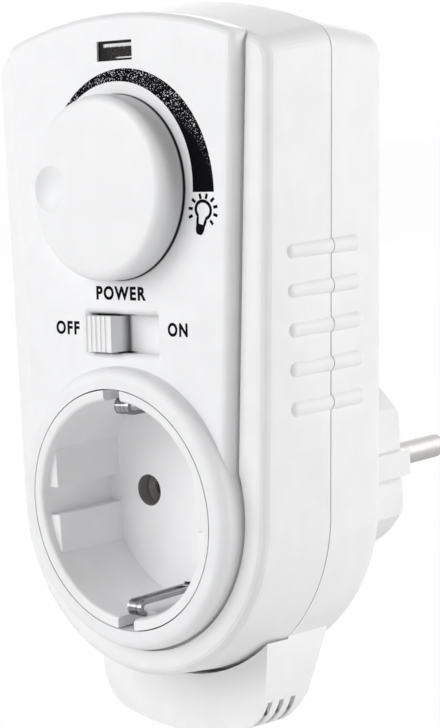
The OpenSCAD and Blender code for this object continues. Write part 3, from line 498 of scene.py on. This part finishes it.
def lamp_loop(grow):
    """The globe and its neck, drawn outside their line by grow."""
    loop = []
    for k in range(GLOBE_STEPS + 1):
        angle = math.radians(NECK_ANGLE + (360.0 - 2.0 * NECK_ANGLE) * k / GLOBE_STEPS)
        along = (GLOBE_TALL + grow) * math.cos(angle)
        loop.append(sign_point(along, (GLOBE_WIDE + grow) * math.sin(angle)))
    loop.append(sign_point(NECK_START, -(NECK_HALF + NECK_FLARE + grow)))
    loop.append(sign_point(NECK_END, -(NECK_HALF + grow)))
    loop.append(sign_point(NECK_END, NECK_HALF + grow))
    loop.append(sign_point(NECK_START, NECK_HALF + NECK_FLARE + grow))
    return loop


def ray_loop(x, z):
    """A short bar that points away from the globe's middle."""
    out = Vector((x, z)).normalized() * (RAY_LONG / 2)
    turn = Vector((-out.y, out.x)).normalized() * RAY_HALF
    middle = GLOBE + Vector((x, z))
    corners = (middle - out - turn, middle + out - turn, middle + out + turn, middle - out + turn)
    return [corner[:] for corner in corners]


cap_loop = [sign_point(along, half) for along, half in CAP_SIDE]
cap_loop += [sign_point(along, -half) for along, half in CAP_SIDE[::-1]]
print_on_panel("sign_globe", flat_curve([lamp_loop(LINE / 2), lamp_loop(-LINE / 2)]), ink)
print_on_panel("sign_cap", flat_curve([cap_loop]), ink)
print_on_panel("sign_rays", flat_curve([ray_loop(x, z) for x, z in RAYS]), ink)

# Knob: smooth white plastic pressed on the control's flatted shaft, a little glossier than the panel.
# Its hollow back stands just clear of the panel. Shade is painted dark onto its edge there and, more
# faintly, along its foot.
KNOB_GAP = 0.35
KNOB_EDGE_LOW = 0.4
KNOB_EDGE_HIGH = 0.75
KNOB_FOOT = 7.0
# Brightness that painted shade leaves at the knob's foot.
KNOB_FOOT_PAINTED_SHADE = 0.8


def ahead_of_gap(finish):
    """Painted shade: 0 at the knob's back edge, then rising along its foot to 1."""
    lift = panel_lift(finish)
    edge = lift.step(KNOB_EDGE_LOW * MM, KNOB_EDGE_HIGH * MM)
    return edge * lift.step(KNOB_GAP * MM, KNOB_FOOT * MM, KNOB_FOOT_PAINTED_SHADE, 1.0)


knob_white = moulded_white(
    "knob_white", (0.888, 0.89, 0.9), (0.908, 0.91, 0.92), 0.1 * MM, 0.004 * MM, (0.34, 0.42),
    ahead_of_gap
)
knob_white.on("dimmer_knob")

# Switch slider: ribbed white plastic on the switch's stem.
# Its cover plate closes the panel's opening from behind, and painted shade darkens the slider's sunk flanks
# and the plate close to its foot.
SWITCH_Z = 31.0
SLIDER_X = -4.7
SLIDER_HALF_W = 3.5
SLIDER_HALF_H = 3.2
COVER_D = 3.2
FLANK_IN = 0.06
FLANK_OUT = 0.02
SUNK_DEEP = 0.5
SUNK_SHALLOW = 0.1
NEAR_FROM = 0.1
NEAR_TO = 2.5
FOOT_TOP = 0.8
# Painted shade on the plate at the slider's foot: how dark it gets and how far it reaches beside the
# slider.
SLIDER_FOOT_PAINTED_SHADE = 0.75
FOOT_PAINTED_SHADE_WIDE = 0.9


def clear_of_gaps(finish):
    """Painted shade: falls towards 0 on the slider's sunk flanks and on the plate close to its foot."""
    beside = abs(finish.axis("X") - SLIDER_X * MM)
    above = abs(panel_up(finish) - SWITCH_Z * MM)
    lift = panel_lift(finish)
    flanks = above.step((SLIDER_HALF_H - FLANK_IN) * MM, (SLIDER_HALF_H - FLANK_OUT) * MM)
    sunk = lift.step(-SUNK_DEEP * MM, -SUNK_SHALLOW * MM, 1.0, 0.0)
    near = beside.step((SLIDER_HALF_W + NEAR_FROM) * MM, (SLIDER_HALF_W + NEAR_TO) * MM, 1.0, 0.0)
    foot = lift.step(-COVER_D * MM, -FOOT_TOP * MM, SLIDER_FOOT_PAINTED_SHADE, 0.0)
    painted_shade_beside = beside.step(SLIDER_HALF_W * MM, (SLIDER_HALF_W + FOOT_PAINTED_SHADE_WIDE) * MM, 1.0, 0.0)
    return (1.0 - flanks * sunk * near) * (1.0 - foot * painted_shade_beside)


slider_white = moulded_white(
    "slider_white", (0.87, 0.872, 0.88), (0.9, 0.902, 0.91), 0.09 * MM, 0.004 * MM, (0.32, 0.44),
    clear_of_gaps
)
slider_white.on("switch_slider")

# Lamp window: smoked clear plastic let into the panel, nearly black over the lamp.
# Painted reflections show as pale streaks along its bevelled upper edge and part of the lower one, and its
# middle is mottled brown.
LENS_Z = 80.6
LENS_W = 8.6
LENS_H = 3.5
LENS_SHINE = 0.05
LENS_CLOUDS = 1.2 * MM
MOTTLE = 0.3 * MM
RAGGED = 0.12
UPPER_TOP = (0.13, 0.16)
UPPER_LOW = (0.28, 0.33)
UPPER_LEFT = (0.12, 0.2)
LOWER_TOP = (0.81, 0.83)
LOWER_LOW = (0.87, 0.9)
LOWER_LEFT = (0.45, 0.6)
BROWN_RANGE = (0.4, 0.7)
BROWN_LEFT = (0.2, 0.35)
BROWN_TOP = (0.2, 0.3)
window = Finish("smoked_window", IOR=PLASTIC_IOR, Specular_IOR_Level=LENS_SHINE)
along = window.axis("X") * (1.0 / (LENS_W * MM)) + 0.5
fallen = 0.5 - (panel_up(window) - LENS_Z * MM) * (1.0 / (LENS_H * MM))
mottle = window.noise(MOTTLE)
ragged = fallen + (mottle - 0.5) * RAGGED
# Painted reflections: pale streaks along the window's upper and lower edges.
upper_painted_reflection = fallen.step(*UPPER_TOP) * ragged.step(*UPPER_LOW, 1.0, 0.0) * along.step(*UPPER_LEFT)
lower_painted_reflection = fallen.step(*LOWER_TOP) * fallen.step(*LOWER_LOW, 1.0, 0.0) * along.step(*LOWER_LEFT)
brown = mottle.step(*BROWN_RANGE) * along.step(*BROWN_LEFT) * fallen.step(*BROWN_TOP)
smoke = window.mix(brown, (0.004, 0.003, 0.003), (0.055, 0.045, 0.044))
window.colour(upper_painted_reflection.larger(lower_painted_reflection), smoke, (0.74, 0.74, 0.75))
window.rough(window.noise(LENS_CLOUDS).spread(0.12, 0.22))
window.bump(mottle, 0.01 * MM, 0.2)
window.on("indicator_lens")

# Socket insert: a heat-proof white moulding behind the bezel, finer and glossier than the housing.
# Its guide pads end in flat faces near the rim, and shade is painted grey onto the walls of its two pin
# holes.
PIN_APART = 19.0
PIN_HOLE_R = 2.9
# Painted shade on the pin holes' walls: where it fades out beyond their radius, and its grey.
HOLE_SHADE_FROM = 0.01
HOLE_SHADE_TO = 0.09
HOLE_PAINTED_SHADE = (0.32, 0.312, 0.306)
PAD_X = 17.04
PAD_ROOT_X = 20.2
PAD_LOW_Z = 2.59
PAD_HIGH_Z = 9.45
PAD_FRONT_Y = -59.9
PAD_BACK_Y = -56.9
PAD_EDGE = 0.35
PAD_EDGE_STEPS = 3
TOUCH = 0.1


def clear_of_holes(finish):
    """Painted shade: 0 on the walls of the pin holes and 1 elsewhere."""
    reach = reach_of(abs(finish.axis("X")) - PIN_APART / 2 * MM, finish.axis("Z"))
    return reach.step((PIN_HOLE_R + HOLE_SHADE_FROM) * MM, (PIN_HOLE_R + HOLE_SHADE_TO) * MM)


def front_inner(edge):
    """Whether an edge of a pad's end is the one at its front towards the socket's middle."""
    return all(abs(v.co.x) < PAD_X + TOUCH and v.co.y < PAD_FRONT_Y + TOUCH for v in edge.verts)


insert_white = moulded_white(
    "insert_white", (0.9, 0.9, 0.908), (0.925, 0.925, 0.933), 0.08 * MM, 0.004 * MM, (0.28, 0.38),
    clear_of_holes, HOLE_PAINTED_SHADE
)
insert_white.on("socket_insert")
flat_pad_insert = skin_of("flat_pad_insert", "socket_insert")
for x_sign in (-1.0, 1.0):
    for z_sign in (-1.0, 1.0):
        pad_end = block_between(
            (x_sign * PAD_X, PAD_FRONT_Y, z_sign * PAD_LOW_Z),
            (x_sign * PAD_ROOT_X, PAD_BACK_Y, z_sign * PAD_HIGH_Z),
        )
        bpy.ops.object.mode_set(mode="EDIT")
        bpy.ops.mesh.select_mode(type="EDGE")
        bpy.ops.mesh.select_all(action="DESELECT")
        shape = bmesh.from_edit_mesh(pad_end.data)
        for edge in shape.edges:
            if front_inner(edge):
                edge.select_set(True)
        bmesh.update_edit_mesh(pad_end.data)
        bpy.ops.mesh.bevel(offset=PAD_EDGE, segments=PAD_EDGE_STEPS, affect="EDGES")
        bpy.ops.object.mode_set(mode="OBJECT")
        combine(flat_pad_insert, pad_end, "UNION")
finish_skin(flat_pad_insert, insert_white)
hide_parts("socket_insert")
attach(flat_pad_insert, "housing")

# Metal parts: sprung earth strips, turned pins, plated contact sleeves, stamped brass and plain steel.
# Each has its marks in the direction in which it was drawn, turned or cut.
STAIN_PATCH = 2.5 * MM
MARKS_SHARE = 0.6
MARKS_STRENGTH = 0.3


def metal(name, dark, light, stretch, marks_size, height, gloss):
    """Bare metal with marks that run where the stretch is small, and stains that dull it in patches."""
    finish = Finish(name, Metallic=1.0)
    marks = finish.noise(marks_size, 3.0, finish.stretched(*stretch))
    stains = finish.noise(STAIN_PATCH)
    finish.colour(marks.spread(), dark, light)
    finish.rough((marks * MARKS_SHARE + stains * (1.0 - MARKS_SHARE)).spread(*gloss))
    finish.bump(marks, height, MARKS_STRENGTH)
    return finish


spring_strip = metal(
    "spring_strip", (0.17, 0.17, 0.185), (0.4, 0.4, 0.42), (1.0, 0.04, 0.04), 0.5 * MM, 0.003 * MM,
    (0.12, 0.22)
)
spring_strip.on("earth_bow", "plug_earth_bow")
turned_pin = metal(
    "turned_pin", (0.45, 0.445, 0.435), (0.51, 0.505, 0.495), (0.05, 1.0, 0.05), 0.14 * MM, 0.0008 * MM,
    (0.5, 0.58)
)
turned_pin.on("live_pin", "neutral_pin")
plated_sleeve = metal(
    "plated_sleeve", (0.6, 0.59, 0.58), (0.74, 0.73, 0.72), (1.0, 0.1, 1.0), 0.3 * MM, 0.005 * MM,
    (0.42, 0.56)
)
plated_sleeve.on("live_contact", "neutral_contact")
stamped_brass = metal(
    "stamped_brass", (0.62, 0.44, 0.18), (0.78, 0.6, 0.3), (1.0, 0.1, 1.0), 0.3 * MM, 0.005 * MM,
    (0.22, 0.4)
)
stamped_brass.on("neutral_strip", "earth_post")
plain_steel = metal(
    "plain_steel", (0.5, 0.5, 0.51), (0.7, 0.7, 0.7), (1.0, 0.2, 1.0), 0.35 * MM, 0.005 * MM, (0.25, 0.45)
)
plain_steel.on("control_shaft", "control_nut", "fuse_clips", "board_screws", "insert_screws")
cut_sheet = metal(
    "cut_sheet", (0.6, 0.6, 0.61), (0.76, 0.76, 0.77), (0.1, 1.0, 1.0), 0.4 * MM, 0.008 * MM, (0.3, 0.5)
)
cut_sheet.on("heat_sink")

# Housing screws: plated pan heads with cross recesses, sunk in the four rear wells.
# One is shaped from a bar end and copied to its places, with the shank in the front half's bosses.
HEAD_R = 2.7
HEAD_T = 2.0
HEAD_FACETS = 48
HEAD_ROUND = 1.15
HEAD_ROUND_STEPS = 5
HEAD_PROFILE = 0.55
SHANK_R = 1.5
SHANK_LONG = 18.4
POINT_LONG = 0.7
POINT_SHARE = 0.4
RECESS_LONG = 3.0
RECESS_WIDE = 0.8
RECESS_DEEP = 1.3
RECESS_TAPER = 0.6
REAR_D = 34.4
SCREW_SINK = 3.0
UPPER_X = 25.6
UPPER_Z = 76.5
LOWER_X = 18.44
LOWER_Z = -14.407
SCREW_SMOOTH = math.radians(30.0)
FACING = 0.9


def select_end(piece, way):
    """Selects the faces that point up, for a way of 1, or down, for -1."""
    bpy.ops.mesh.select_mode(type="FACE")
    bpy.ops.mesh.select_all(action="DESELECT")
    shape = bmesh.from_edit_mesh(piece.data)
    for face in shape.faces:
        if face.normal.z * way > FACING:
            face.select_set(True)
    bmesh.update_edit_mesh(piece.data)


bpy.ops.object.select_all(action="DESELECT")
bpy.ops.mesh.primitive_cylinder_add(
    vertices=HEAD_FACETS, radius=HEAD_R, depth=HEAD_T, location=(0.0, 0.0, HEAD_T / 2)
)
screw = bpy.context.object
bpy.ops.object.transform_apply(location=True)
bpy.ops.object.mode_set(mode="EDIT")
select_end(screw, 1)
bpy.ops.mesh.bevel(offset=HEAD_ROUND, segments=HEAD_ROUND_STEPS, profile=HEAD_PROFILE, affect="EDGES")
select_end(screw, -1)
bpy.ops.mesh.inset(thickness=HEAD_R - SHANK_R)
bpy.ops.mesh.extrude_region_move(TRANSFORM_OT_translate={"value": (0.0, 0.0, -SHANK_LONG)})
bpy.ops.mesh.extrude_region_move(TRANSFORM_OT_translate={"value": (0.0, 0.0, -POINT_LONG)})
bpy.ops.transform.resize(value=(POINT_SHARE, POINT_SHARE, 1.0), center_override=(0.0, 0.0, 0.0))
bpy.ops.object.mode_set(mode="OBJECT")
for turn in (0.0, math.pi / 2):
    bpy.ops.object.select_all(action="DESELECT")
    bpy.ops.mesh.primitive_cube_add(size=1.0, location=(0.0, 0.0, HEAD_T), rotation=(0.0, 0.0, turn))
    recess = bpy.context.object
    recess.scale = (RECESS_LONG, RECESS_WIDE, 2.0 * RECESS_DEEP)
    bpy.ops.object.transform_apply(location=True, rotation=True, scale=True)
    bpy.ops.object.mode_set(mode="EDIT")
    select_end(recess, -1)
    bpy.ops.transform.resize(value=(RECESS_TAPER, RECESS_TAPER, 1.0), center_override=(0.0, 0.0, 0.0))
    bpy.ops.object.mode_set(mode="OBJECT")
    combine(screw, recess, "DIFFERENCE")
upper_seat = panel_point(UPPER_X, UPPER_Z, SCREW_SINK - REAR_D)
upper_turn = Matrix.Rotation(-math.pi / 2 - LEAN, 4, "X")
lower_y = PANEL_Y + REAR_D / math.cos(LEAN) + math.tan(LEAN) * LOWER_Z - SCREW_SINK
lower_seat = Vector((LOWER_X, lower_y, LOWER_Z)) * MM
lower_turn = Matrix.Rotation(-math.pi / 2, 4, "X")
bpy.ops.object.select_all(action="DESELECT")
for sign in (-1.0, 1.0):
    for seat, turn in ((upper_seat, upper_turn), (lower_seat, lower_turn)):
        place = Matrix.Translation((sign * seat.x, seat.y, seat.z))
        copy = bpy.data.objects.new("cross_screws", screw.data.copy())
        copy.data.transform(place @ turn @ Matrix.Scale(MM, 4))
        bpy.context.scene.collection.objects.link(copy)
        copy.select_set(True)
        bpy.context.view_layer.objects.active = copy
bpy.data.objects.remove(screw)
bpy.ops.object.join()
cross_screws = bpy.context.object
cross_screws.name = "cross_screws"
bpy.ops.object.shade_smooth_by_angle(angle=SCREW_SMOOTH)
plated_screw = metal(
    "plated_screw", (0.5, 0.5, 0.5), (0.68, 0.68, 0.66), (0.4, 1.0, 0.4), 0.2 * MM, 0.006 * MM,
    (0.22, 0.42)
)
plated_screw.coat(cross_screws)
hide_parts("housing_screws")
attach(cross_screws, "housing")

# Mouldings inside: the contact carrier, the switch, the control, the triac, the choke's ferrite rod,
# the dipped capacitor and the leads' insulation, each in its usual colour.
MOULDING_IOR = 1.5
MOULDING_TONE = 1.2 * MM
MOULDING_CLOUDS = 0.6 * MM
MOULDING_GLOSS = (0.38, 0.58)
MOULDING_RELIEF = 0.4


def inner_moulding(name, dark, light, grain, *names):
    """A plain moulding for the inside, a little uneven in tone and gloss, put on the named nodes."""
    finish = Finish(name, IOR=MOULDING_IOR)
    finish.colour(finish.noise(MOULDING_TONE, 3.0).spread(), dark, light)
    finish.rough(finish.noise(MOULDING_CLOUDS).spread(*MOULDING_GLOSS))
    finish.bump(finish.noise(grain), 0.01 * MM, MOULDING_RELIEF)
    finish.on(*names)


inner_moulding("carrier_grey", (0.16, 0.16, 0.165), (0.22, 0.22, 0.225), 0.2 * MM, "contact_carrier")
inner_moulding("switch_black", (0.012, 0.012, 0.013), (0.03, 0.03, 0.03), 0.15 * MM, "switch_body", "triac")
inner_moulding("carriage_grey", (0.09, 0.09, 0.09), (0.14, 0.14, 0.14), 0.15 * MM, "switch_carriage")
inner_moulding("control_blue", (0.05, 0.08, 0.14), (0.08, 0.12, 0.19), 0.2 * MM, "control_body")
inner_moulding("ferrite", (0.03, 0.03, 0.032), (0.06, 0.06, 0.062), 0.1 * MM, "choke_core")
inner_moulding("dipped_film", (0.55, 0.34, 0.06), (0.66, 0.43, 0.1), 0.4 * MM, "film_capacitor")
inner_moulding("live_brown", (0.13, 0.05, 0.02), (0.18, 0.075, 0.03), 0.3 * MM, "live_lead")
inner_moulding("load_black", (0.012, 0.012, 0.012), (0.028, 0.028, 0.028), 0.3 * MM, "load_lead")
inner_moulding("neutral_blue", (0.02, 0.07, 0.3), (0.035, 0.1, 0.38), 0.3 * MM, "neutral_lead")

# Circuit board: green lacquer over copper tracks that run along and across.
# It is screwed to the front shell's four posts.
ALONG_PITCH = 2.6 * MM
ALONG_EDGE = (0.62, 0.7)
ACROSS_PITCH = 4.2 * MM
ACROSS_EDGE = (0.72, 0.78)
TRACK_BENDS = 1.0
board_green = Finish("board_green", IOR=MOULDING_IOR, Coat_Weight=0.3, Coat_Roughness=0.2)
tracks_along = board_green.bands(ALONG_PITCH, "X", TRACK_BENDS).step(*ALONG_EDGE)
tracks_across = board_green.bands(ACROSS_PITCH, "Z", TRACK_BENDS).step(*ACROSS_EDGE)
tracks = tracks_along.larger(tracks_across)
board_green.colour(tracks, (0.012, 0.07, 0.022), (0.03, 0.14, 0.04))
board_green.rough(board_green.noise(0.5 * MM).spread(0.3, 0.45))
board_green.bump(tracks, 0.03 * MM, 0.4)
board_green.on("circuit_board")

# Small parts on the board and in the block: enamelled wire round the choke, banded resistors,
# the fuse's glass tube and the neon lamp's.
WIRE_PITCH = 0.55 * MM
RING_PITCH = 1.7 * MM
RING_EDGE = (0.75, 0.85)
GLASS_CLOUDS = 1.2 * MM
enamel = Finish("enamelled_wire", Metallic=0.6)
turns = enamel.bands(WIRE_PITCH, "X")
enamel.colour(turns, (0.16, 0.05, 0.02), (0.5, 0.2, 0.08))
enamel.rough(turns.step(0.0, 1.0, 0.5, 0.28))
enamel.bump(turns, 0.15 * MM, 0.7)
enamel.on("choke_winding", "choke_leads")
banded = Finish("banded_film", IOR=MOULDING_IOR)
rings = banded.bands(RING_PITCH, "X").step(*RING_EDGE)
banded.colour(rings, (0.56, 0.43, 0.26), (0.16, 0.05, 0.03))
banded.rough(banded.noise(0.5 * MM).spread(0.35, 0.5))
banded.bump(banded.noise(0.25 * MM), 0.01 * MM, 0.3)
banded.on("resistors")


def tube_glass(name, clear, dark, light, node_name):
    """Slightly clouded glass, see-through by the share clear."""
    finish = Finish(name, IOR=MOULDING_IOR, Transmission_Weight=clear)
    clouds = finish.noise(GLASS_CLOUDS)
    finish.colour(clouds.spread(), dark, light)
    finish.rough(clouds.spread(0.05, 0.16))
    finish.on(node_name)


tube_glass("fuse_glass", 0.6, (0.7, 0.75, 0.76), (0.86, 0.9, 0.9), "fuse")
tube_glass("neon_glass", 0.5, (0.75, 0.4, 0.24), (0.9, 0.66, 0.5), "neon_lamp")

# Stage: a pale floor under the block and a white surround.
# The camera sees both as plain white, and the floor keeps the object's shadow.
FLOOR_SIZE = 6.0
FLOOR_DROP = 0.2 * MM
FLOOR_CLOUDS = 40.0 * MM
FLOOR_WHITE_SHARE = 0.98
SURROUND = 0.13
floor_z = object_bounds()[0].z - FLOOR_DROP
bpy.ops.object.select_all(action="DESELECT")
bpy.ops.mesh.primitive_plane_add(size=FLOOR_SIZE, location=(0.0, 0.0, floor_z))
floor = bpy.context.object
floor.name = "floor"


def seen_share(shading, share):
    """The share for camera, glossy and transmitted rays, and nothing for the others."""
    path = shading.node("ShaderNodeLightPath", {}, {})
    seen = Field(shading, path.outputs["Is Camera Ray"])
    for ray in ("Is Glossy Ray", "Is Transmission Ray"):
        seen = seen.larger(Field(shading, path.outputs[ray]))
    return seen * share


pale_floor = Finish("pale_floor", Roughness=0.8)
pale_floor.colour(pale_floor.noise(FLOOR_CLOUDS), (0.87, 0.87, 0.87), (0.89, 0.89, 0.89))
plain_white = pale_floor.node("ShaderNodeEmission", {}, {})
blend = pale_floor.node("ShaderNodeMixShader", {}, {
    0: seen_share(pale_floor, FLOOR_WHITE_SHARE),
    1: pale_floor.shader.outputs["BSDF"],
    2: plain_white.outputs["Emission"],
})
pale_floor.set_socket(pale_floor.tree.nodes["Material Output"].inputs["Surface"], blend.outputs["Shader"])
pale_floor.coat(floor)
world = bpy.data.worlds.new("surround")
bpy.context.scene.world = world
world.use_nodes = True
surround = Shading(world.node_tree)
sky = surround.tree.nodes["Background"]
surround.set_socket(sky.inputs["Color"], (1.0, 1.0, 1.0, 1.0))
surround.set_socket(sky.inputs["Strength"], seen_share(surround, 1.0 - SURROUND) + SURROUND)

# Lamps: a large soft one ahead on the left, a weaker one ahead on the right,
# and two behind for the housing's side and its back. Places and sizes are in metres.
LAMP_AIM = Vector((0.0, -0.03, 0.02))
LAMPS = {
    "front_lamp": ((-0.42, -0.84, 0.48), 0.8, 6.7),
    "fill_lamp": ((0.3, -1.0, 0.0), 0.8, 2.2),
    "side_lamp": ((0.85, 0.5, 0.36), 0.7, 7.5),
    "back_lamp": ((-0.66, 0.84, 0.37), 0.7, 4.4),
}
for name, (place, size, watts) in LAMPS.items():
    lamp = bpy.data.lights.new(name, "AREA")
    lamp.shape = "SQUARE"
    lamp.size = size
    lamp.energy = watts
    holder = bpy.data.objects.new(name, lamp)
    holder.location = place
    holder.rotation_euler = (LAMP_AIM - Vector(place)).to_track_quat("-Z", "Y").to_euler()
    bpy.context.scene.collection.objects.link(holder)

# Camera: the photograph's own view, solved from the panel, the bezel, the side edges and the plug.
# It stands ahead of the object on its right, a little above it, and leans slightly to one side.
CAMERA_PLACE = (0.2841, -0.3379, 0.0734)
AZIMUTH = math.radians(42.98)
ELEVATION = math.radians(6.97)
ROLL = math.radians(-3.43)
FOCAL_PIXELS = 2276.0
LONG_SIDE_PIXELS = 728.0
SENSOR = 36.0
NEAREST = 0.01
back = Vector((
    math.sin(AZIMUTH) * math.cos(ELEVATION),
    -math.cos(AZIMUTH) * math.cos(ELEVATION),
    math.sin(ELEVATION),
))
level = (-back).cross(Vector((0.0, 0.0, 1.0))).normalized()
upright = level.cross(-back)
right_way = level * math.cos(ROLL) + upright * math.sin(ROLL)
up_way = upright * math.cos(ROLL) - level * math.sin(ROLL)
lens = bpy.data.cameras.new("photo_view")
lens.sensor_fit = "AUTO"
lens.sensor_width = SENSOR
lens.lens = FOCAL_PIXELS * SENSOR / LONG_SIDE_PIXELS
lens.clip_start = NEAREST
camera = bpy.data.objects.new("photo_view", lens)
stand = Matrix((right_way, up_way, back)).transposed().to_4x4()
stand.translation = Vector(CAMERA_PLACE)
camera.matrix_world = stand
bpy.context.scene.collection.objects.link(camera)
bpy.context.scene.camera = camera
bpy.context.scene.view_settings.view_transform = "Standard"
